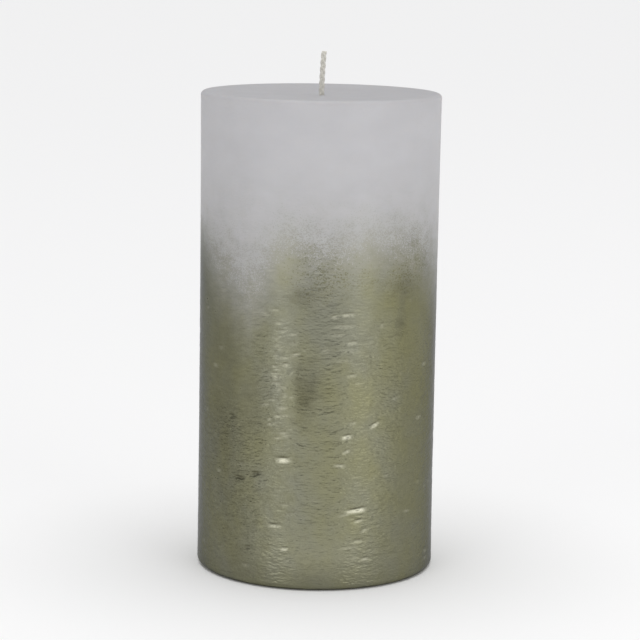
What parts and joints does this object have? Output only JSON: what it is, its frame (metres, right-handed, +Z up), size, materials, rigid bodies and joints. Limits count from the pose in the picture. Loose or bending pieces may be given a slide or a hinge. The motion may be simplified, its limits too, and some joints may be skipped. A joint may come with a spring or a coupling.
{
  "type": "pillar candle",
  "caption": "Round rustic pillar candle with a plaited wick, its white wax fading into a metallic champagne lacquer towards the base.",
  "frame": {"origin": "middle of the flat face that the candle stands on", "axes": "+Z up along the candle's axis and its wick; +X is the side that the wick's tip leans to; the candle is otherwise the same all round"},
  "size_m": [0.07, 0.07, 0.1519],
  "materials": {
    "pressed_wax": "dull white wax granules pressed together",
    "rustic_wax": "cloudy white dipped wax with fine ridges and pits, its lower two thirds in a satin metallic champagne lacquer that fades upward in speckles",
    "waxed_cotton": "plaited cotton yarn soaked in wax, dull cream",
    "tinned_steel": "thin tinned steel sheet, stamped"
  },
  "bodies": {
    "root": {"pressed_core": "pressed_wax", "overdip_shell": "rustic_wax", "wick_strand_1": "waxed_cotton", "wick_strand_2": "waxed_cotton", "wick_strand_3": "waxed_cotton", "wick_sustainer": "tinned_steel"}
  },
  "joints": []
}
